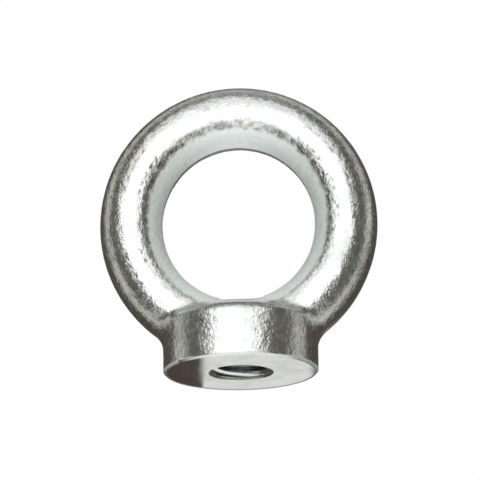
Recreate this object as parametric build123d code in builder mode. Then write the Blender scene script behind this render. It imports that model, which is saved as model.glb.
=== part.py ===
"""Lifting eye nut: one drop-forged piece, a tapped collar with a round eye standing on it.

Sizes are in millimetres and angles in degrees. The origin is the middle of the flat base, in
the mouth of the tapped hole. +Z runs up the thread, X lies across the eye and Y runs through it.
"""

from build123d import *
import os
from math import radians, tan

# The eye: a ring on an elliptical section, which grows thicker from the crown to the root
eye_outer_width = 54.0
eye_outer_height = 55.0
eye_centre_height = 29.5
ring_width = 12.2
crown_thickness = 12.0
root_thickness = 14.0

# The collar: a short round boss with a sloping shoulder, turned flat underneath
collar_diameter = 30.0
collar_height = 10.0
shoulder_slope = 19.0
shoulder_rim_radius = 1.0
base_edge_chamfer = 0.4

# The blend that the forging die leaves all round the foot of the eye
root_blend_radius = 1.5

# The hole for an M12 coarse thread, at its tapping size, with a countersunk mouth
tapping_diameter = 10.2
mouth_diameter = 12.6
mouth_angle = 90

# Worked out from the sizes above
mean_half_width = (eye_outer_width - ring_width) / 2
mean_half_height = (eye_outer_height - ring_width) / 2
collar_radius = collar_diameter / 2
shoulder_rise = collar_radius * tan(radians(shoulder_slope))

crown_angle = 90
half_turn = 180
section_places = (0, 0.25, 0.5, 0.75, 1)
eye_plane = Plane(origin=(0, 0, eye_centre_height), x_dir=(1, 0, 0), z_dir=(0, -1, 0))


with BuildPart() as eye_nut:
    # Half of the ring, swept from the crown round to the root, and its mirror image
    with BuildLine(eye_plane) as mean_line:
        EllipticalCenterArc(
            (0, 0), mean_half_width, mean_half_height, start_angle=crown_angle, arc_size=half_turn
        )
    path = mean_line.wires()[0]
    for place in section_places:
        along = path % place
        thickness = crown_thickness + (root_thickness - crown_thickness) * place
        with BuildSketch(Plane(origin=path @ place, x_dir=along.cross(Vector(0, 1, 0)), z_dir=along)):
            Ellipse(ring_width / 2, thickness / 2)
    sweep(path=path, multisection=True)
    mirror(about=Plane.YZ)

    # The collar, turned about the thread's axis and grown into the foot of the ring
    with BuildSketch(Plane.XZ) as collar_profile:
        with BuildLine():
            Polyline(
                (0, 0),
                (collar_radius, 0),
                (collar_radius, collar_height),
                (0, collar_height + shoulder_rise),
                close=True,
            )
        make_face()
        rim = collar_profile.vertices().sort_by_distance((collar_radius, collar_height))[0]
        fillet(rim, shoulder_rim_radius)
        base_edge = collar_profile.vertices().sort_by_distance((collar_radius, 0))[0]
        chamfer(base_edge, base_edge_chamfer)
    revolve(axis=Axis.Z)
    fillet(eye_nut.edges(Select.NEW), root_blend_radius)

    # The tapped hole, open from the base to the eye
    with Locations(Location((0, 0, 0), (180, 0, 0))):
        CounterSinkHole(
            radius=tapping_diameter / 2,
            counter_sink_radius=mouth_diameter / 2,
            depth=eye_centre_height,
            counter_sink_angle=mouth_angle,
        )

eye_nut.part.label = "eye_nut"

os.makedirs("parts", exist_ok=True)
export_step(eye_nut.part, "parts/eye_nut.step")
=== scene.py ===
"""A lifting eye nut, dressed for the camera: the forged skin, the cut thread and the studio.

The frame holds the nut at its real size. This script lays a finely shaped forged surface over
the same form, cuts the M12 thread into it, plates it with bright zinc and lights it.
Metres throughout. +Z runs up the thread, X lies across the eye and Y runs through it.
"""

import logging
import math
from dataclasses import dataclass, field
from enum import Enum
from functools import reduce

import bmesh
import bpy
import numpy as np
from mathutils import Matrix, Quaternion, Vector

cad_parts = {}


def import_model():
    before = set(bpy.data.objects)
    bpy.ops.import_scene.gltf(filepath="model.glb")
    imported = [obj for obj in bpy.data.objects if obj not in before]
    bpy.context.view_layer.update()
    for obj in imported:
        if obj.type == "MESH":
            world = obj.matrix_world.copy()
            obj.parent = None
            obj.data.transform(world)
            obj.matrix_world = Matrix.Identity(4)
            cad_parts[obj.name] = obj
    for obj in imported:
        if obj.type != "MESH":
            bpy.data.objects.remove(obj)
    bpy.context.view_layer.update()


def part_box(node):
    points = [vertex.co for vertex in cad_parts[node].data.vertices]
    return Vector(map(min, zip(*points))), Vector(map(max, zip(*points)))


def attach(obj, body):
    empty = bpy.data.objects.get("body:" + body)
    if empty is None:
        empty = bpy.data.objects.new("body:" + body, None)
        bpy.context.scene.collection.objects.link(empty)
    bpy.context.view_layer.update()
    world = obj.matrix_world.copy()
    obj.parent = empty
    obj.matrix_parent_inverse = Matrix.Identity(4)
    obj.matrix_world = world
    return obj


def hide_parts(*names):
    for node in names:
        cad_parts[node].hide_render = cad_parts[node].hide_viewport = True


LOG = logging.getLogger("eye_nut")
MM = 0.001
Array = np.ndarray
Pair = tuple[float, float]
Tone = tuple[float, float, float]
Colour = tuple[float, float, float, float]
Socket = bpy.types.NodeSocket
Sockets = bpy.types.bpy_prop_collection
Node = bpy.types.Node
Mesh = bpy.types.Mesh
LATTICE_STEPS = (127.1, 311.7, 74.7)
SEED_STEP = 53.3
SINE_SIZE = 43758.5453
TINY = 1e-9


# ---- Whole-array helpers ----


def smooth_step(low: float, high: float, value: Array) -> Array:
    """Eases from 0 at low to 1 at high with a cubic.

    Args:
        low: Value that gives 0.
        high: Value that gives 1.
        value: Any array.

    Returns:
        The eased array, 3 t^2 - 2 t^3 of the clamped share t.
    """
    share = np.clip((value - low) / (high - low), 0.0, 1.0)
    return share * share * (3.0 - 2.0 * share)


def lattice_value(cells: Array, seed: int) -> Array:
    """Gives each whole-number lattice point a fixed value from -1 to 1.

    Args:
        cells: Whole-number coordinates, last axis 3.
        seed: Picks one of many lattices.

    Returns:
        The fraction left of a large sine of the coordinates, one value for each point.
    """
    mixed = cells @ np.array(LATTICE_STEPS) + SEED_STEP * seed
    return 2.0 * np.modf(np.abs(np.sin(mixed)) * SINE_SIZE)[0] - 1.0


def soft_noise(points: Array, cell: float, seed: int) -> Array:
    """Smooth noise in space: lattice values blended across each cell with a quintic.

    Args:
        points: Places, last axis 3.
        cell: Size of a lattice cell, in the unit of the points.
        seed: Picks one of many noises.

    Returns:
        One value from about -1 to 1 for each point.
    """
    scaled = points / cell
    base = np.floor(scaled)
    part = scaled - base
    ease = part**3 * (part * (part * 6.0 - 15.0) + 10.0)
    total = np.zeros(points.shape[:-1])
    for corner in np.ndindex(2, 2, 2):
        offset = np.array(corner, float)
        weight = np.prod(np.where(offset > 0.5, ease, 1.0 - ease), axis=-1)
        total += weight * lattice_value(base + offset, seed)
    return total


def grid_faces(rows: int, columns: int, wrap_rows: bool, wrap_columns: bool) -> Array:
    """Lists the four corners of every cell of a grid of vertices.

    Args:
        rows: Number of vertex rows.
        columns: Number of vertices in a row.
        wrap_rows: Whether the last row joins the first.
        wrap_columns: Whether each row closes on itself.

    Returns:
        Vertex numbers, one line of four for each face.
    """
    grid = np.arange(rows * columns).reshape(rows, columns)
    grid = np.pad(grid, ((0, int(wrap_rows)), (0, int(wrap_columns))), mode="wrap")
    corners = (grid[:-1, :-1], grid[1:, :-1], grid[1:, 1:], grid[:-1, 1:])
    return np.stack([corner.ravel() for corner in corners], axis=1)


def mesh_from_arrays(name: str, points: Array, faces: Array) -> Mesh:
    """Puts whole arrays of corners and faces into a smooth-shaded mesh.

    Args:
        name: Name of the mesh.
        points: Vertex places in metres, one line of three each.
        faces: Vertex numbers, one line of four each.

    Returns:
        The new mesh.
    """
    mesh = bpy.data.meshes.new(name)
    mesh.vertices.add(len(points))
    mesh.vertices.foreach_set("co", points.astype(np.float32).ravel())
    mesh.loops.add(faces.size)
    mesh.loops.foreach_set("vertex_index", faces.astype(np.int32).ravel())
    mesh.polygons.add(len(faces))
    starts = np.arange(0, faces.size, faces.shape[1], dtype=np.int32)
    mesh.polygons.foreach_set("loop_start", starts)
    mesh.update(calc_edges=True)
    mesh.validate()
    mesh.shade_smooth()
    return mesh


# ---- The nut ----


@dataclass(frozen=True)
class PipGroup:
    """Low round pips that the die leaves on the ring's face, two rows of them side by side."""

    at_degrees: float
    columns: int
    spacing_degrees: float = 5.2
    row_gap: float = 1.9 * MM
    radius: float = 0.85 * MM


@dataclass
class NutSizes:
    """Sizes of the forging in metres. The overall ones come from the frame's box."""

    width: float
    height: float
    collar_width: float
    eye_height: float = 55.0 * MM
    ring_width: float = 12.2 * MM
    crown_thickness: float = 12.0 * MM
    root_thickness: float = 14.0 * MM
    collar_height: float = 10.0 * MM
    shoulder_slope: float = 19.0
    rim_radius: float = 1.0 * MM
    base_chamfer: float = 0.4 * MM
    blend_radius: float = 1.5 * MM
    thread_major: float = 12.0 * MM
    thread_minor: float = 10.2 * MM
    thread_pitch: float = 1.75 * MM
    mouth_width: float = 12.6 * MM

    @property
    def eye_centre(self) -> float:
        """Height of the eye's middle above the base."""
        return self.height - self.eye_height / 2

    @property
    def path_x(self) -> float:
        """Half width of the ring's mean line."""
        return (self.width - self.ring_width) / 2

    @property
    def path_z(self) -> float:
        """Half height of the ring's mean line."""
        return (self.eye_height - self.ring_width) / 2

    @property
    def collar_radius(self) -> float:
        """Radius of the collar's wall."""
        return self.collar_width / 2


@dataclass
class ForgedBody:
    """The whole forging as one closed surface: ring, collar, blend, parting line and pips.

    A band is where an effect sets in and where it is full. The foot's shift moves the rays'
    centres towards the collar, at an angle from straight down.
    """

    sizes: NutSizes
    stations: int = 470
    around: int = 170
    trial_around: int = 420
    halvings: int = 34
    ray_length: float = 45.0 * MM
    slope_step: float = 0.02 * MM
    wall_foot: float = -3.0 * MM
    foot_shift: float = 3.2 * MM
    foot_at: float = 33.0
    foot_spread: float = 10.0
    foot_crowding: float = 0.10
    base_rings: tuple[float, ...] = (12.0 * MM, 9.0 * MM, 5.0 * MM, 1.0 * MM)
    parting_half_width: float = 0.75 * MM
    parting_groove: float = 0.05 * MM
    parting_wander: float = 0.12 * MM
    parting_calm: float = 0.75
    groove_spread: float = 0.35
    land_band: Pair = (1.0, 0.7)
    wander_cell: float = 7.0 * MM
    ring_band: Pair = (-21.0 * MM, -17.0 * MM)
    rim_band: Pair = (0.55, 0.8)
    skin_swell: float = 0.022 * MM
    swell_cells: Pair = (2.6 * MM, 1.2 * MM)
    fine_swell: float = 0.6
    skin_pit: float = 0.016 * MM
    pit_cell: float = 0.62 * MM
    turned_band: Pair = (0.5 * MM, 1.1 * MM)
    front_band: Pair = (0.0, -2.0 * MM)
    pip_height: float = 0.15 * MM
    pip_wear: float = 0.3
    pip_band: Pair = (1.0, 0.25)
    pip_groups: tuple[PipGroup, ...] = (
        PipGroup(at_degrees=94.0, columns=5),
        PipGroup(at_degrees=43.0, columns=4),
        PipGroup(at_degrees=10.0, columns=5),
        PipGroup(at_degrees=153.0, columns=5),
        PipGroup(at_degrees=207.0, columns=4),
    )

    def ring_distance(self, points: Array) -> Array:
        """Distance to the ring's skin, negative inside.

        The ring's mean line is an ellipse, and its section is another, whose thickness grows
        with the turn from the crown to the root. Both distances are the first-order ones: the
        ellipse's own equation less one, over the length of its gradient.

        Args:
            points: Places, last axis 3.

        Returns:
            One distance for each place.
        """
        s = self.sizes
        x, y, z = points[..., 0], points[..., 1], points[..., 2] - s.eye_centre
        reach = np.hypot(x / s.path_x, z / s.path_z)
        slope = np.hypot(x / s.path_x**2, z / s.path_z**2) / np.maximum(reach, TINY)
        off_path = (reach - 1.0) / np.maximum(slope, TINY)
        turn = np.abs(np.arctan2(x, z)) / math.pi
        half_width = s.ring_width / 2
        half_thick = (s.crown_thickness + (s.root_thickness - s.crown_thickness) * turn) / 2
        ratio = np.hypot(off_path / half_width, y / half_thick)
        steep = np.hypot(off_path / half_width**2, y / half_thick**2) / np.maximum(ratio, TINY)
        return (ratio - 1.0) / np.maximum(steep, TINY)

    def collar_distance(self, points: Array) -> Array:
        """Distance to the collar: an upright wall and a sloping shoulder meeting in a round rim.

        The wall runs on below the base, where the body is cut level afterwards.

        Args:
            points: Places, last axis 3.

        Returns:
            One distance for each place, negative inside.
        """
        s = self.sizes
        out = np.hypot(points[..., 0], points[..., 1])
        slope = math.radians(s.shoulder_slope)
        wall = out - s.collar_radius
        shoulder = (points[..., 2] - s.collar_height + wall * math.tan(slope)) * math.cos(slope)
        over = np.maximum(wall + s.rim_radius, 0.0), np.maximum(shoulder + s.rim_radius, 0.0)
        rim = np.minimum(np.maximum(wall, shoulder) + s.rim_radius, 0.0)
        body = rim + np.hypot(*over) - s.rim_radius
        return np.maximum(body, self.wall_foot - points[..., 2])

    def distance(self, points: Array) -> Array:
        """Distance to ring and collar joined by the die's blend, a round fillet between the two.

        Args:
            points: Places, last axis 3.

        Returns:
            One distance for each place, negative inside.
        """
        ring, collar = self.ring_distance(points), self.collar_distance(points)
        blend = self.sizes.blend_radius
        inside = np.hypot(np.maximum(blend - ring, 0.0), np.maximum(blend - collar, 0.0))
        return np.maximum(blend, np.minimum(ring, collar)) - inside

    def cast(self, turn: Array, around: Array) -> Array:
        """Finds the skin along rays in each upright slice through the eye's own axis.

        A slice stands at an angle turn about the eye's middle. Its rays leave a centre inside
        the metal at an angle around, from 0 towards the eye to pi away from it. Halving the
        stretch between a place inside and one outside closes in on the skin.

        Args:
            turn: Angle of each slice, as a column.
            around: Angles of the rays, one line for each slice.

        Returns:
            Skin places, one line of rays for each slice.
        """
        s = self.sizes
        down = np.abs(np.degrees(turn) + 90.0)
        shift = self.foot_shift * np.exp(-(((down - self.foot_at) / self.foot_spread) ** 2))
        mean = 1.0 / np.hypot(np.cos(turn) / s.path_x, np.sin(turn) / s.path_z)
        reach = mean + shift
        near, far = np.zeros_like(around), np.full_like(around, self.ray_length)
        for _ in range(self.halvings):
            middle = (near + far) / 2
            tried = self.place(turn, reach - middle * np.cos(around), middle * np.sin(around))
            inside = self.distance(tried) < 0.0
            near, far = np.where(inside, middle, near), np.where(inside, far, middle)
        return self.place(turn, reach - near * np.cos(around), near * np.sin(around))

    def place(self, turn: Array, reach: Array, aside: Array) -> Array:
        """Places from polar ones: reach from the eye's middle at an angle turn, aside along Y."""
        height = self.sizes.eye_centre + reach * np.sin(turn)
        return np.stack(np.broadcast_arrays(reach * np.cos(turn), aside, height), axis=-1)

    def even_rays(self, turn: Array) -> Array:
        """Spaces the rays of each slice so that their places lie evenly along its outline.

        The slices' shares are set two apart, so that one interpolation serves them all.

        Args:
            turn: Angle of each slice, as a column.

        Returns:
            Ray angles, one line for each slice.
        """
        trial = np.linspace(0.0, 2.0 * math.pi, self.trial_around + 1)[None, :] + 0.0 * turn
        skin = self.cast(turn, trial)
        steps = np.linalg.norm(np.diff(skin, axis=1), axis=2)
        length = np.concatenate([np.zeros((len(turn), 1)), np.cumsum(steps, axis=1)], axis=1)
        share = length / length[:, -1:]
        wanted = np.linspace(0.0, 1.0, self.around, endpoint=False)[None, :]
        apart = 2.0 * np.arange(len(turn))[:, None]
        found = np.interp((wanted + apart).ravel(), (share + apart).ravel(), trial.ravel())
        return found.reshape(len(turn), self.around)

    def normals(self, points: Array) -> Array:
        """Works out the outward directions: the distance's slope, by central differences.

        Args:
            points: Places on the plain form, last axis 3.

        Returns:
            One unit direction for each place.
        """
        steps = self.slope_step * np.eye(3)
        slope = np.stack(
            [self.distance(points + step) - self.distance(points - step) for step in steps],
            axis=-1,
        )
        return slope / np.linalg.norm(slope, axis=-1, keepdims=True)

    def relief(self, points: Array) -> Array:
        """Height of the forged skin over the plain form.

        It adds four things: broad swells, small scale pits, the trimmed flash line round the
        ring's rims with a shallow groove on each side, and the low, unevenly worn pips on its
        front face. The turned part near the base stays plain.

        Args:
            points: Places on the plain form, last axis 3.

        Returns:
            One height for each place.
        """
        s = self.sizes
        broad, fine = (soft_noise(points, cell, 1 + i) for i, cell in enumerate(self.swell_cells))
        pits = soft_noise(points, self.pit_cell, 3)
        height = self.skin_swell * (broad + self.fine_swell * fine) + self.skin_pit * pits

        x, y, z = points[..., 0], points[..., 1], points[..., 2] - s.eye_centre
        reach = np.hypot(x, z)
        mean = (s.path_x + s.path_z) / 2
        wander = self.parting_wander * soft_noise(points, self.wander_cell, 4)
        aside = np.abs(y + wander) / self.parting_half_width
        rim = smooth_step(*self.rim_band, np.abs(reach - mean) / (s.ring_width / 2))
        on_ring = smooth_step(*self.ring_band, z) * rim
        groove = -self.parting_groove * np.exp(-(((aside - 1.0) / self.groove_spread) ** 2))
        land = smooth_step(*self.land_band, aside)
        height = height * (1.0 - self.parting_calm * land * on_ring) + groove * on_ring

        front = smooth_step(*self.front_band, y)
        angle = np.degrees(np.arctan2(z, x)) % 360.0
        for group in self.pip_groups:
            half = group.spacing_degrees * (group.columns - 1) / 2
            off = (angle - group.at_degrees + 180.0) % 360.0 - 180.0
            column = np.clip(np.round((off + half) / group.spacing_degrees), 0, group.columns - 1)
            row = (reach > mean).astype(float)
            cell = np.stack([column, row, 0.0 * row], -1)
            worn = 1.0 - self.pip_wear + self.pip_wear * lattice_value(cell, 9)
            along = np.radians(off + half - column * group.spacing_degrees) * reach
            across = np.abs(reach - mean) - group.row_gap / 2
            away = np.hypot(along, across) / group.radius
            height = height + self.pip_height * worn * front * smooth_step(*self.pip_band, away)
        return (height - self.skin_swell) * smooth_step(*self.turned_band, points[..., 2])

    def surface(self) -> tuple[Array, Array]:
        """Works out the closed skin, slice by slice round the eye.

        Slices lie closer together at the foot, where the collar makes each outline longer. Each
        place is moved out by its relief, and none is let past the form's overall width.

        Returns:
            Vertex places and the four corners of each face.
        """
        share = np.linspace(0.0, 1.0, self.stations, endpoint=False)
        turn = 2.0 * math.pi * share - self.foot_crowding * np.sin(4.0 * math.pi * share)
        turn = (math.pi / 2 + turn)[:, None]
        turn = (turn + math.pi) % (2.0 * math.pi) - math.pi
        skin = self.cast(turn, self.even_rays(turn))
        skin = skin + self.normals(skin) * self.relief(skin)[..., None]
        limit = np.array([self.sizes.width / 2, self.sizes.collar_radius, self.sizes.height])
        skin = np.clip(skin, -limit, limit)
        faces = grid_faces(self.stations, self.around, wrap_rows=True, wrap_columns=True)
        return skin.reshape(-1, 3), faces

    def mesh(self) -> Mesh:
        """Makes the solid body: the skin, cut level above the base and closed by turned rings.

        Returns:
            A closed mesh with the base's chamfer and flat face, and no hole yet.
        """
        s = self.sizes
        points, faces = self.surface()
        body = mesh_from_arrays("forged_body", points, faces)
        shape = bmesh.new()
        shape.from_mesh(body)
        bmesh.ops.recalc_face_normals(shape, faces=shape.faces)
        bmesh.ops.bisect_plane(
            shape, geom=shape.verts[:] + shape.edges[:] + shape.faces[:],
            plane_co=(0.0, 0.0, s.base_chamfer), plane_no=(0.0, 0.0, -1.0), clear_outer=True,
        )
        loop = [edge for edge in shape.edges if edge.is_boundary]
        for radius in (s.collar_radius - s.base_chamfer, *self.base_rings):
            grown = bmesh.ops.extrude_edge_only(shape, edges=loop)["geom"]
            loop = [item for item in grown if isinstance(item, bmesh.types.BMEdge)]
            for vertex in {corner for edge in loop for corner in edge.verts}:
                flat = vertex.co.xy.normalized() * radius
                vertex.co = (flat.x, flat.y, 0.0)
        bmesh.ops.contextual_create(shape, geom=loop)
        bmesh.ops.recalc_face_normals(shape, faces=shape.faces)
        shape.to_mesh(body)
        shape.free()
        body.shade_smooth()
        return body


@dataclass
class ThreadCutter:
    """The tap's own shape, an M12 coarse helix running up into the eye, and the countersink's.

    The profile's height is split into turns. Each turn has rows at the profile's four corners
    and evenly between them, so the flanks come out smooth.
    """

    sizes: NutSizes
    around: int = 192
    crest_flat: float = 0.26
    root_flat: float = 0.13
    crest_rows: int = 3
    flank_rows: int = 3
    root_rows: int = 2
    first_turn: int = -2
    last_turn: int = 10
    start_share: float = 0.56
    cone_below: float = 1.0 * MM
    cone_above: float = 1.5 * MM

    def radius(self, phase: Array) -> Array:
        """Radius of the cut hole at a place in the profile's turn.

        The depth is a trapezoid wave of the phase: flat crests at the minor radius, flat roots
        at the major one, straight flanks between.

        Args:
            phase: Place in the profile's turn, from 0 in the middle of a crest to 1 in the next.

        Returns:
            One radius for each place.
        """
        s = self.sizes
        from_root = np.abs(phase - 0.5) * 2.0
        flank = 1.0 - self.crest_flat - self.root_flat
        depth = np.clip((1.0 - self.crest_flat - from_root) / flank, 0.0, 1.0)
        minor, major = s.thread_minor / 2, s.thread_major / 2
        return minor + (major - minor) * depth

    def phases(self) -> Array:
        """Places one turn's rows, from a crest's lower corner to just before the next.

        Returns:
            The rows' places, as shares of a turn.
        """
        crest, root = self.crest_flat / 2, self.root_flat / 2
        corners = (crest, 0.5 - root, 0.5 + root, 1.0 - crest, 1.0 + crest)
        counts = (self.flank_rows, self.root_rows, self.flank_rows, self.crest_rows)
        spans = zip(corners, corners[1:], counts)
        return np.concatenate([np.linspace(*span, endpoint=False) for span in spans])

    def mesh(self) -> Mesh:
        """Makes the cutter: a sheet wound up the helix, with a fan of faces at either end.

        Height is the pitch times the sum of the row's place, the helix's start and the share of
        the turn. At the seam a row therefore meets the row one turn above it.

        Returns:
            The closed cutter.
        """
        turn_rows = self.phases()
        turns = np.arange(self.first_turn, self.last_turn)[:, None]
        place = (turns + turn_rows[None, :]).reshape(-1, 1)
        angle = np.linspace(0.0, 2.0 * math.pi, self.around, endpoint=False)[None, :]
        risen = place + self.start_share + angle / (2.0 * math.pi)
        height = self.sizes.thread_pitch * risen
        out = self.radius(place % 1.0) + 0.0 * angle
        sheet = np.stack([out * np.cos(angle), out * np.sin(angle), height], axis=-1)

        rows, lead = len(place), len(turn_rows)
        number = np.arange(rows * self.around).reshape(rows, self.around)
        ahead = np.full_like(number, -1)
        ahead[:, :-1] = number[:, 1:]
        ahead[: rows - lead, -1] = number[lead:, 0]
        quads = np.stack([number[:-1], ahead[:-1], ahead[1:], number[1:]], axis=-1).reshape(-1, 4)
        quads = quads[(quads >= 0).all(axis=1)]

        foot = np.concatenate([number[0], number[lead:0:-1, 0]])
        head = np.concatenate([number[-1], number[-2 : -2 - lead : -1, -1]])
        points = sheet.reshape(-1, 3)
        poles = np.array([[0.0, 0.0, points[loop, 2].mean()] for loop in (foot, head)])
        fans = [
            np.stack([loop, np.roll(loop, -1), np.full_like(loop, len(points) + end)], axis=-1)
            for end, loop in enumerate((foot, head))
        ]
        cutter = bpy.data.meshes.new("thread_cutter")
        faces = quads.tolist() + np.concatenate(fans).tolist()
        cutter.from_pydata(np.concatenate([points, poles]).tolist(), [], faces)
        shape = bmesh.new()
        shape.from_mesh(cutter)
        bmesh.ops.recalc_face_normals(shape, faces=shape.faces)
        shape.to_mesh(cutter)
        shape.free()
        return cutter

    def countersink(self) -> Mesh:
        """Makes the cone that widens the mouth, from below the base to inside the bore.

        It is turned by half a step, so that its edges fall between the helix's.

        Returns:
            The closed cutter.
        """
        mouth, below, above = self.sizes.mouth_width / 2, self.cone_below, self.cone_above
        half_step = Matrix.Rotation(math.pi / self.around, 4, "Z")
        cone = bpy.data.meshes.new("countersink")
        shape = bmesh.new()
        bmesh.ops.create_cone(
            shape, cap_ends=True, segments=self.around,
            radius1=mouth + below, radius2=mouth - above, depth=below + above,
            matrix=Matrix.Translation((0.0, 0.0, (above - below) / 2)) @ half_step,
        )
        shape.to_mesh(cone)
        shape.free()
        return cone


# ---- Finishes ----


class Op(Enum):
    """The arithmetic that the finishes use, by the Math node's own names."""

    ADD = "ADD"
    SUBTRACT = "SUBTRACT"
    MULTIPLY = "MULTIPLY"
    MAXIMUM = "MAXIMUM"
    ABSOLUTE = "ABSOLUTE"
    ROOT = "SQRT"
    OVER = "GREATER_THAN"
    UNDER = "LESS_THAN"


@dataclass
class NodeBoard:
    """A short hand for wiring shader nodes in one tree."""

    tree: bpy.types.NodeTree

    def add(self, kind: str, **values: object) -> Node:
        """Adds a node and sets its own properties.

        Args:
            kind: The node's type name.
            values: Its properties by name.

        Returns:
            The new node.
        """
        node = self.tree.nodes.new(kind)
        for key, value in values.items():
            setattr(node, key, value)
        return node

    def put(self, target: Socket, value: object) -> None:
        """Links a socket to an input, or sets the input to a plain value.

        Args:
            target: The input.
            value: A socket or a value.
        """
        if isinstance(value, Socket):
            self.tree.links.new(value, target)
        else:
            target.default_value = value

    def feed(self, node: Node, **inputs: object) -> Node:
        """Sets or links inputs by name, with an underscore for a space.

        Args:
            node: The node to feed.
            inputs: A socket to link or a value to set, by the input's name.

        Returns:
            The same node.
        """
        for key, value in inputs.items():
            name = key.replace("_", " ")
            self.put(next(s for s in node.inputs if s.name == name and s.enabled), value)
        return node

    def place(self) -> Socket:
        """The object's own coordinates."""
        return self.add("ShaderNodeTexCoord").outputs["Object"]

    def split(self, place: Socket) -> Sockets:
        """The three parts of a vector."""
        return self.feed(self.add("ShaderNodeSeparateXYZ"), Vector=place).outputs

    def math(self, operation: Op, *values: object) -> Socket:
        """Adds a Math node.

        Args:
            operation: What it works out.
            values: Its inputs in order, sockets or numbers.

        Returns:
            Its output.
        """
        node = self.add("ShaderNodeMath", operation=operation.value)
        for target, value in zip(node.inputs, values):
            self.put(target, value)
        return node.outputs[0]

    def product(self, *values: object) -> Socket:
        """Multiplies sockets and numbers, one after the other."""
        return reduce(lambda first, second: self.math(Op.MULTIPLY, first, second), values)

    def length(self, first: Socket, second: Socket) -> Socket:
        """The length of two sides at right angles: the root of the sum of their squares."""
        squares = [self.product(side, side) for side in (first, second)]
        return self.math(Op.ROOT, self.math(Op.ADD, *squares))

    def ramp(
        self, value: Socket, low: float, high: float, to_low: float, to_high: float
    ) -> Socket:
        """Adds a smooth, clamped Map Range node.

        Args:
            value: The socket to map.
            low: Value that gives to_low.
            high: Value that gives to_high.
            to_low: Result at the low end.
            to_high: Result at the high end.

        Returns:
            Its output.
        """
        node = self.add("ShaderNodeMapRange", interpolation_type="SMOOTHSTEP", clamp=True)
        self.feed(node, Value=value, From_Min=low, From_Max=high, To_Min=to_low, To_Max=to_high)
        return node.outputs[0]

    def noise(
        self, place: Socket, scale: float, detail: float = 2.0, roughness: float = 0.5
    ) -> Socket:
        """Adds a Noise texture.

        Args:
            place: Where it is looked up.
            scale: Its cells in a metre.
            detail: Its finer layers.
            roughness: Share of each finer layer.

        Returns:
            Its value, about 0.5 in the middle.
        """
        node = self.add("ShaderNodeTexNoise")
        self.feed(node, Vector=place, Scale=scale, Detail=detail, Roughness=roughness)
        return node.outputs[0]

    def mix(self, factor: Socket, low: object, high: object) -> Socket:
        """Adds a colour Mix node.

        Args:
            factor: Share of the second colour.
            low: First colour or socket.
            high: Second colour or socket.

        Returns:
            Its colour output.
        """
        node = self.add("ShaderNodeMix", data_type="RGBA")
        for index, value in ((0, factor), (6, low), (7, high)):
            self.put(node.inputs[index], value)
        return node.outputs[2]

    def blend(self, factor: Socket, first: Node, second: Node) -> Socket:
        """Mixes two shaders.

        Args:
            factor: Share of the second shader.
            first: First shader.
            second: Second shader.

        Returns:
            The mixed shader's output.
        """
        node = self.add("ShaderNodeMixShader")
        for target, value in zip(node.inputs, (factor, first.outputs[0], second.outputs[0])):
            self.put(target, value)
        return node.outputs[0]


def new_material(name: str) -> tuple[bpy.types.Material, NodeBoard]:
    """Makes a material with nodes.

    Args:
        name: Its name.

    Returns:
        The material, and a board on its tree.
    """
    material = bpy.data.materials.new(name)
    material.use_nodes = True
    return material, NodeBoard(material.node_tree)


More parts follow.
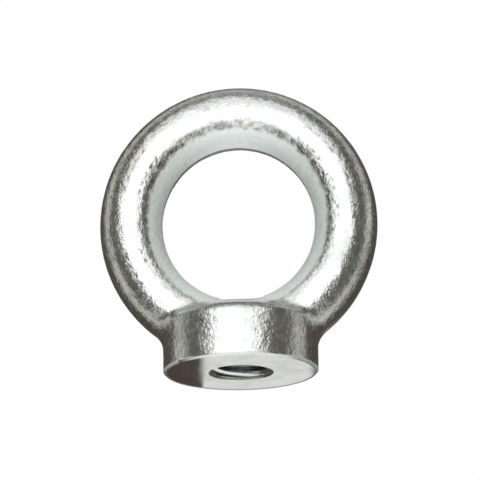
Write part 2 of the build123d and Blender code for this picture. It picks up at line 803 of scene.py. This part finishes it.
@dataclass(frozen=True)
class ZincFinish:
    """Bright zinc plating over a shot-blasted forging, with a smoother turned base.

    Scales count a noise's cells in a metre. A band is where a mask begins to change and where
    it has changed.
    """

    bright: Colour = (0.80, 0.815, 0.80, 1.0)
    grey: Colour = (0.62, 0.645, 0.63, 1.0)
    warm: Colour = (0.78, 0.74, 0.67, 1.0)
    warm_share: float = 0.55
    cloud_scale: float = 160.0
    cloud_band: Pair = (0.35, 0.7)
    cloud_rough_band: Pair = (0.45, 0.75)
    tint_scale: float = 70.0
    tint_band: Pair = (0.52, 0.75)
    dimple_scales: Pair = (1000.0, 2200.0)
    dimple_shares: Pair = (0.6, 0.4)
    dimple_band: Pair = (0.40, 0.62)
    dimple_depth: float = 0.18 * MM
    roughness: float = 0.16
    dimple_roughness: float = 0.10
    cloud_roughness: float = 0.08
    turned_roughness: float = 0.10
    ring_scale: float = 9000.0
    ring_roughness: float = 0.08
    ring_height: float = 0.06
    base_band: Pair = (0.4 * MM, 0.6 * MM)
    bore_band: Pair = (6.3 * MM, 6.6 * MM)
    bore_top: Pair = (13.6 * MM, 14.0 * MM)
    eye_centre: float = 29.5 * MM
    matt_tone: Colour = (0.82, 0.865, 0.845, 1.0)
    matt_metallic: float = 0.44
    matt_roughness: float = 0.30
    matt_reach: float = 17.3 * MM
    matt_wander: float = 0.6 * MM
    matt_rise: float = 0.055
    wander_scale: float = 700.0
    # Painted shade: a dark tone and its bands for the crown's inner edge and flash line, darker
    # towards the top.
    painted_shade_tone: Colour = (0.17, 0.178, 0.17, 1.0)
    edge_shade_width: float = 1.15 * MM
    edge_shade_share: float = 0.72
    edge_shade_gap: float = 0.35
    edge_shade_band: Pair = (0.40, 0.56)
    edge_shade_rise: Pair = (2.4 * MM, 12.8 * MM)
    line_shade_offset: float = 1.3 * MM
    line_shade_width: float = 3.2 * MM
    line_shade_rise: Pair = (0.0, 8.0 * MM)

    def dimples(self, board: NodeBoard, place: Socket) -> tuple[Socket, Socket]:
        """The peened texture: two sizes of dimples with finer grain over them.

        Args:
            board: The board of the material.
            place: The object coordinates.

        Returns:
            The height, and a mask of the coarser dimples.
        """
        coarse = board.noise(place, self.dimple_scales[0])
        fine = board.noise(place, self.dimple_scales[1], detail=3.0, roughness=0.6)
        parts = [board.product(*pair) for pair in zip((coarse, fine), self.dimple_shares)]
        return board.math(Op.ADD, *parts), board.ramp(coarse, *self.dimple_band, 0.0, 1.0)

    def turned_side(self, board: NodeBoard, out: Socket, height: Socket) -> Socket:
        """Masks what was turned or cut: the base with its chamfer, and the bore.

        Args:
            board: The board of the material.
            out: Distance from the thread's axis.
            height: Height above the base.

        Returns:
            The mask.
        """
        bored = board.product(
            board.ramp(out, *self.bore_band, 1.0, 0.0), board.ramp(height, *self.bore_top, 1.0, 0.0)
        )
        return board.math(Op.MAXIMUM, board.ramp(height, *self.base_band, 1.0, 0.0), bored)

    def eye_side(
        self, board: NodeBoard, place: Socket, split: Sockets
    ) -> tuple[Socket, Socket]:
        """Masks the eye's inner side, which the trimming punch left matt, and the painted shade
        inside its crown.

        The first mask is 1 where the skin lies within a reach of the eye's middle that widens a
        little with the height above or below it. The second one is painted shade inside the crown,
        darker towards the top: a dark border along that side's edge, broken up by noise, and a dark
        band along the line where the flash was trimmed.

        Args:
            board: The board of the material.
            place: The object coordinates.
            split: Their three parts.

        Returns:
            The mask of the matt side and the mask of the painted shade.
        """
        up = board.math(Op.SUBTRACT, split[2], self.eye_centre)
        wander = board.noise(place, self.wander_scale, detail=3.0)
        reach = board.math(
            Op.ADD, board.length(split[0], up), board.product(wander, 2.0 * self.matt_wander)
        )
        widening = board.product(board.math(Op.ABSOLUTE, up), self.matt_rise)
        reach = board.math(Op.SUBTRACT, reach, widening)
        outer = self.matt_reach + 2.0 * self.matt_wander
        side = board.ramp(reach, self.matt_reach, outer, 1.0, 0.0)

        off_edge = board.math(Op.ABSOLUTE, board.math(Op.SUBTRACT, reach, outer))
        # Painted shade along the matt side's border, growing towards the crown.
        edge_shade = board.product(
            board.ramp(off_edge, 0.3 * self.edge_shade_width, self.edge_shade_width, 1.0, 0.0),
            board.ramp(wander, *self.edge_shade_band, self.edge_shade_gap, 1.0),
            board.ramp(up, *self.edge_shade_rise, 0.0, self.edge_shade_share),
        )
        # Painted shade along the trimmed flash line inside the crown, growing towards the top.
        off_line = board.math(Op.ABSOLUTE, board.math(Op.SUBTRACT, split[1], self.line_shade_offset))
        line_shade = board.product(
            side,
            board.ramp(off_line, self.line_shade_width / 2, 0.7 * self.line_shade_width, 1.0, 0.0),
            board.ramp(up, *self.line_shade_rise, 0.0, 1.0),
        )
        return side, board.math(Op.MAXIMUM, edge_shade, line_shade)

    def make(self) -> bpy.types.Material:
        """Builds the plating.

        Returns:
            The finished material.
        """
        material, board = new_material("zinc_plating")
        shader = material.node_tree.nodes["Principled BSDF"]
        place = board.place()
        split = board.split(place)
        out = board.length(split[0], split[1])
        low = self.turned_side(board, out, split[2])
        matt, painted_shade_mask = self.eye_side(board, place, split)
        peened, pitted = self.dimples(board, place)

        cloud = board.noise(place, self.cloud_scale, detail=4.0, roughness=0.6)
        tint = board.noise(place, self.tint_scale)
        tone = board.mix(board.ramp(cloud, *self.cloud_band, 0.0, 1.0), self.bright, self.grey)
        warmth = board.ramp(tint, *self.tint_band, 0.0, self.warm_share)
        tone = board.mix(warmth, tone, self.warm)
        tone = board.mix(matt, tone, self.matt_tone)
        # Painted shade: the dark tone over the crown's inner edge and flash line.
        tone = board.mix(painted_shade_mask, tone, self.painted_shade_tone)
        metallic = board.ramp(matt, 0.0, 1.0, 1.0, self.matt_metallic)
        board.feed(shader, Base_Color=tone, Metallic=metallic)

        rings = board.feed(
            board.add("ShaderNodeTexNoise", noise_dimensions="1D"),
            W=out, Scale=self.ring_scale, Detail=2.0,
        ).outputs[0]
        rough = self.roughness
        for part in (
            board.product(pitted, self.dimple_roughness),
            board.ramp(cloud, *self.cloud_rough_band, 0.0, self.cloud_roughness),
            board.product(matt, self.matt_roughness),
        ):
            rough = board.math(Op.ADD, rough, part)
        turned = board.math(
            Op.ADD, self.turned_roughness, board.product(rings, self.ring_roughness)
        )
        mixed = board.add("ShaderNodeMix", data_type="FLOAT")
        for index, value in ((0, low), (2, rough), (3, turned)):
            board.put(mixed.inputs[index], value)

        skin = board.product(peened, board.math(Op.SUBTRACT, 1.0, low))
        height = board.math(Op.ADD, skin, board.product(rings, low, self.ring_height))
        bump = board.feed(
            board.add("ShaderNodeBump"), Height=height, Strength=1.0, Distance=self.dimple_depth
        )
        board.feed(shader, Roughness=mixed.outputs[0], Normal=bump.outputs[0])
        return material


# ---- Studio ----


def direction(azimuth: float, elevation: float) -> Array:
    """Unit direction from the nut at an azimuth and elevation in degrees."""
    a, e = math.radians(azimuth), math.radians(elevation)
    return np.array([math.sin(a) * math.cos(e), -math.cos(a) * math.cos(e), math.sin(e)])


@dataclass(frozen=True)
class Flag:
    """A card bent round the nut that only its reflections show.

    It lies between two angles off an axis, usually the front light's. Its lower edges stand
    there, and each edge may lift further from the axis overhead. A card with an open foot ends
    where the nut would see it from straight below.
    """

    name: str
    inner: float
    outer: float
    tone: Tone
    inner_lift: float = 0.0
    outer_lift: float = 0.0
    open_foot: bool = True
    about: Pair = (-5.0, 5.0)
    reach: float = 0.62
    soft: float = 3.0
    rows: int = 25
    around: int = 96
    lift_power: float = 1.3
    foot_band: Pair = (-0.88, -0.62)
    top_band: Pair = (0.88, 1.0)
    top_fade: float = 0.15

    def sheet(self, centre: Array) -> tuple[Mesh, Array]:
        """Bends the card round its axis, as a zone of a sphere.

        Its two parameters are the angle off the axis and the turn about it. Overhead, each edge
        lifts by its share of a power of the turn's sine. The edges fade over a few degrees.

        Args:
            centre: Middle of the sphere.

        Returns:
            The card's surface, and its mask with one value for each vertex.
        """
        axis = direction(*self.about)
        side = np.cross(axis, (0.0, 0.0, 1.0))
        side = side / np.linalg.norm(side)
        up = np.cross(side, axis)
        turn = np.linspace(0.0, 2.0 * math.pi, self.around, endpoint=False)[None, :]
        rise = np.sin(turn)
        overhead = np.maximum(rise, 0.0) ** self.lift_power
        inner = self.inner + self.inner_lift * overhead
        outer = self.outer + self.outer_lift * overhead
        share = np.linspace(0.0, 1.0, self.rows)[:, None]
        off = inner - self.soft + share * (outer - inner + 2.0 * self.soft)
        angle = np.radians(off)
        points = centre + self.reach * (
            np.cos(angle)[..., None] * axis
            + (np.sin(angle) * np.cos(turn))[..., None] * side
            + (np.sin(angle) * rise)[..., None] * up
        )
        faces = grid_faces(self.rows, self.around, wrap_rows=False, wrap_columns=True)
        fade = smooth_step(-self.soft, self.soft, off - inner) * smooth_step(
            self.soft, -self.soft, off - outer
        )
        if self.open_foot:
            fade = fade * smooth_step(*self.foot_band, rise)
            fade = fade * (1.0 - self.top_fade * smooth_step(*self.top_band, rise))
        return mesh_from_arrays(self.name, points.reshape(-1, 3), faces), fade


@dataclass(frozen=True)
class FootCard:
    """A small flat dark card near the base, between two long edges given by their Y and Z.

    The bows move the two edges along Y by their shares of the squared X.
    """

    name: str
    left: float
    right: float
    first: Pair = (22.0 * MM, -0.5 * MM)
    second: Pair = (22.0 * MM, -30.0 * MM)
    tone: Tone = (0.075, 0.055, 0.045)
    bows: Pair = (0.0, 0.0)
    rows: int = 9
    columns: int = 33

    def sheet(self) -> tuple[Mesh, Array]:
        """Spans the card for the base or the hole's mouth to mirror.

        Its two parameters run from its left to its right edge and from its first to its second
        long edge.

        Returns:
            The card's surface, and its mask, which is 1 all over.
        """
        across = np.linspace(self.left, self.right, self.columns)[None, :]
        share = np.linspace(0.0, 1.0, self.rows)[:, None]
        near = self.first[0] + self.bows[0] * across**2
        far = self.second[0] + self.bows[1] * across**2
        height = self.first[1] + (self.second[1] - self.first[1]) * share
        parts = np.broadcast_arrays(across, near + (far - near) * share, height)
        faces = grid_faces(self.rows, self.columns, wrap_rows=False, wrap_columns=False)
        mesh = mesh_from_arrays(self.name, np.stack(parts, axis=-1).reshape(-1, 3), faces)
        return mesh, np.ones((self.rows, self.columns))


@dataclass
class PaperFloor:
    """A pale floor under the nut, open from beneath so that the underside shows.

    It fades into the white surround with distance. The level base does not mirror it, but the
    edge that rests on it does, within a narrow ring behind the front.
    """

    drop: float = 0.08 * MM
    reach: float = 0.34
    tone: float = 0.80
    grain: float = 1.04
    grain_scale: float = 400.0
    roughness: float = 0.9
    fade: Pair = (0.2, 0.85)
    rim: Pair = (14.3 * MM, 17.0 * MM)
    rim_from: float = -9.0 * MM

    def shown(self, board: NodeBoard, place: Socket) -> Socket:
        """Masks where and to which rays the paper shows.

        Args:
            board: The board of the material.
            place: The object coordinates.

        Returns:
            The mask.
        """
        path = board.add("ShaderNodeLightPath").outputs
        behind = board.add("ShaderNodeNewGeometry").outputs["Backfacing"]
        above = board.math(Op.SUBTRACT, 1.0, behind)
        away = board.feed(board.add("ShaderNodeVectorMath", operation="LENGTH"), Vector=place)
        away = away.outputs["Value"]
        near = board.ramp(away, *(share * self.reach for share in self.fade), 1.0, 0.0)
        rim = board.product(
            board.math(Op.OVER, away, self.rim[0]), board.math(Op.UNDER, away, self.rim[1]),
            board.math(Op.OVER, board.split(place)[1], self.rim_from),
        )
        rays = board.math(
            Op.MAXIMUM, path["Is Camera Ray"], board.product(path["Is Glossy Ray"], rim)
        )
        return board.product(rays, above, near)

    def build(self) -> None:
        """Lays the paper."""
        corners = np.array([[-1, -1, 0], [1, -1, 0], [1, 1, 0], [-1, 1, 0]], float) * self.reach
        corners[:, 2] = -self.drop
        mesh = mesh_from_arrays("floor", corners, np.array([[0, 1, 2, 3]]))
        item = bpy.data.objects.new("floor", mesh)
        bpy.context.scene.collection.objects.link(item)
        material, board = new_material("floor_paper")
        shader = board.tree.nodes["Principled BSDF"]
        place = board.place()
        tones = [(tone,) * 3 + (1.0,) for tone in (self.tone, self.tone * self.grain)]
        colour = board.mix(board.noise(place, self.grain_scale, detail=3.0), *tones)
        board.feed(shader, Base_Color=colour, Roughness=self.roughness)
        clear = board.add("ShaderNodeBsdfTransparent")
        both = board.blend(self.shown(board, place), clear, shader)
        board.put(board.tree.nodes["Material Output"].inputs["Surface"], both)
        mesh.materials.append(material)


@dataclass
class Studio:
    """Soft lights, cards for the metal to reflect, floor and camera."""

    target: tuple[float, float, float]
    azimuth: float = 2.6
    elevation: float = -15.0
    roll: float = -0.9
    distance: float = 1.0
    lens: float = 386.2
    clip: Pair = (0.01, 20.0)
    lamp_distance: float = 0.9
    front_axis: Pair = (-5.0, 5.0)
    front_spread: float = 37.0
    front_level: float = 0.6
    front_fill: float = 0.7
    side_spread: float = 32.0
    under_level: float = 2.6
    top_level: float = 1.3
    world_fill: float = 0.5
    floor: PaperFloor = field(default_factory=PaperFloor)
    flags: tuple[Flag, ...] = (
        Flag("dark_card_front", 34.0, 96.0, (0.120, 0.113, 0.100), 37.0, 14.0),
        Flag("grey_card_side", 87.0, 104.0, (0.74, 0.75, 0.70), 14.0, 10.0,
             about=(-0.7, 5.0), reach=0.59),
        Flag("dark_card_back", 96.0, 168.0, (0.085, 0.076, 0.064), 14.0, 14.0),
        Flag("grey_card_back", 168.0, 180.0, (0.42, 0.42, 0.40), 14.0, 0.0),
        Flag("pale_card_back", 0.0, 13.0, (0.79, 0.79, 0.76), open_foot=False,
             about=(182.6, -15.0), reach=0.55),
    )
    foot_cards: tuple[FootCard, ...] = (
        FootCard("foot_card_left", -60.0 * MM, -8.6 * MM),
        FootCard("foot_card_right", 13.2 * MM, 60.0 * MM),
        FootCard("under_card", -34.0 * MM, 34.0 * MM, (-0.7 * MM, -24.0 * MM),
                 (5.0 * MM, -24.0 * MM), (0.072, 0.072, 0.066), (38.0, 55.0)),
    )

    def aim(self, item: bpy.types.Object, back: Array, away: float, roll: float = 0.0) -> None:
        """Puts a lamp or the camera at a distance and turns it to face the nut.

        Args:
            item: The object to place.
            back: Unit direction from the nut to the object.
            away: Distance from the nut.
            roll: Turn about the view axis, in degrees.
        """
        item.location = Vector(self.target) + Vector(back) * away
        item.rotation_mode = "QUATERNION"
        turn = Quaternion((0.0, 0.0, 1.0), math.radians(roll))
        item.rotation_quaternion = (-Vector(back)).to_track_quat("-Z", "Y") @ turn
        bpy.context.scene.collection.objects.link(item)

    def camera(self) -> None:
        """Sets the long-lens camera, looking up from a little below the base."""
        data = bpy.data.cameras.new("camera")
        data.lens = self.lens
        data.clip_start, data.clip_end = self.clip
        item = bpy.data.objects.new("camera", data)
        self.aim(item, direction(self.azimuth, self.elevation), self.distance, self.roll)
        bpy.context.scene.camera = item

    def lamp(self, name: str, back: Array, spread: float, level: float, mirrored: bool) -> None:
        """Adds a round soft box that faces the nut.

        Its power follows from the brightness of its cloth: pi times area times radiance.

        Args:
            name: Name of the lamp.
            back: Unit direction from the nut to the lamp.
            spread: Half the angle that it fills as the nut sees it, in degrees.
            level: Brightness of its cloth, where 1 is white.
            mirrored: Whether the metal mirrors it.
        """
        data = bpy.data.lights.new(name, "AREA")
        data.shape = "DISK"
        data.size = 2.0 * self.lamp_distance * math.tan(math.radians(spread))
        data.energy = level * math.pi * math.pi * (data.size / 2) ** 2
        item = bpy.data.objects.new(name, data)
        item.visible_camera = False
        item.visible_glossy = mirrored
        self.aim(item, back, self.lamp_distance)

    def world(self) -> None:
        """A white surround for the eye and for reflections, and a softer one for fill."""
        world = bpy.data.worlds.new("studio")
        bpy.context.scene.world = world
        world.use_nodes = True
        board = NodeBoard(world.node_tree)
        world.node_tree.nodes.clear()
        path = board.add("ShaderNodeLightPath").outputs
        seen = board.math(Op.MAXIMUM, path["Is Camera Ray"], board.math(
            Op.MAXIMUM, path["Is Glossy Ray"], path["Is Transmission Ray"]))
        fill, white = [
            board.feed(
                board.add("ShaderNodeBackground"), Color=(1.0, 1.0, 1.0, 1.0), Strength=strength
            )
            for strength in (self.world_fill, 1.0)
        ]
        out = board.add("ShaderNodeOutputWorld")
        board.put(out.inputs[0], board.blend(seen, fill, white))

    def hang(self, card: Flag | FootCard, mesh: Mesh, fade: Array) -> None:
        """Hangs a card that only reflections show, with its fading mask and its tone.

        Args:
            card: The card.
            mesh: Its surface.
            fade: Its mask, one value for each vertex, 0 where it is clear.
        """
        mask = mesh.attributes.new("fade", "FLOAT", "POINT")
        mask.data.foreach_set("value", fade.astype(np.float32).ravel())
        item = bpy.data.objects.new(card.name, mesh)
        bpy.context.scene.collection.objects.link(item)
        item.visible_camera = item.visible_diffuse = item.visible_shadow = False
        material, board = new_material(card.name)
        board.tree.nodes.remove(board.tree.nodes["Principled BSDF"])
        cloth = board.feed(board.add("ShaderNodeEmission"), Color=card.tone + (1.0,))
        clear = board.add("ShaderNodeBsdfTransparent")
        share = board.add("ShaderNodeAttribute", attribute_name="fade").outputs["Fac"]
        both = board.blend(share, clear, cloth)
        board.put(board.tree.nodes["Material Output"].inputs["Surface"], both)
        mesh.materials.append(material)

    def build(self) -> None:
        """Sets the world, the floor, the lamps, the cards and the camera."""
        front, up = direction(*self.front_axis), np.array([0.0, 0.0, 1.0])
        self.world()
        self.floor.build()
        for name, back, spread, level, mirrored in (
            ("front_box", front, self.front_spread, self.front_level, True),
            ("front_fill", front, self.front_spread, self.front_fill, False),
            ("under_box", -up, self.side_spread, self.under_level, False),
            ("top_box", up, self.side_spread, self.top_level, False),
        ):
            self.lamp(name, back, spread, level, mirrored)
        for flag in self.flags:
            self.hang(flag, *flag.sheet(np.array(self.target)))
        for card in self.foot_cards:
            self.hang(card, *card.sheet())
        self.camera()


# ---- Assembly ----


@dataclass
class EyeNut:
    """The forging with its thread cut and its plating on."""

    sizes: NutSizes
    finish: ZincFinish = field(default_factory=ZincFinish)
    sharp_angle: float = 38.0

    def cut_hole(self, body: bpy.types.Object) -> None:
        """Taps and countersinks the hole through the forging.

        Args:
            body: The forging, whose mesh is exchanged for the cut one.
        """
        tap = ThreadCutter(self.sizes)
        tools = [bpy.data.objects.new(mesh.name, mesh) for mesh in (tap.mesh(), tap.countersink())]
        for tool in tools:
            bpy.context.scene.collection.objects.link(tool)
            cut = body.modifiers.new(tool.name, "BOOLEAN")
            cut.operation = "DIFFERENCE"
            cut.solver = "EXACT"
            cut.object = tool
        graph = bpy.context.evaluated_depsgraph_get()
        plain, body.data = body.data, bpy.data.meshes.new_from_object(body.evaluated_get(graph))
        body.modifiers.clear()
        for tool in tools:
            bpy.data.objects.remove(tool)
        bpy.data.meshes.remove(plain)

    def build(self) -> bpy.types.Object:
        """Makes the forging, cuts the thread through it and plates it.

        Returns:
            The finished piece, riding in place of the frame's plain node.
        """
        body = bpy.data.objects.new("eye_nut_forging", ForgedBody(self.sizes).mesh())
        bpy.context.scene.collection.objects.link(body)
        self.cut_hole(body)
        body.data.name = body.name
        body.data.shade_smooth()
        body.data.set_sharp_from_angle(angle=math.radians(self.sharp_angle))
        body.data.materials.clear()
        body.data.materials.append(self.finish.make())
        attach(body, "root")
        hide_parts("eye_nut")
        return body


def main() -> None:
    """Builds the nut and its studio, and logs the nut's counts of vertices and faces."""
    logging.basicConfig(level=logging.INFO, format="%(message)s")
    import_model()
    low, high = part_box("eye_nut")
    sizes = NutSizes(high[0] - low[0], high[2] - low[2], collar_width=high[1] - low[1])
    piece = EyeNut(sizes).build()
    LOG.info("%s: %d vertices, %d faces", piece.name, len(piece.data.vertices),
             len(piece.data.polygons))
    Studio(target=(0.2 * MM, 0.0, 26.5 * MM)).build()
    LOG.info("studio: floor, lights, cards and camera")
    bpy.context.scene.view_settings.view_transform = "Standard"


if __name__ == "__main__":
    main()
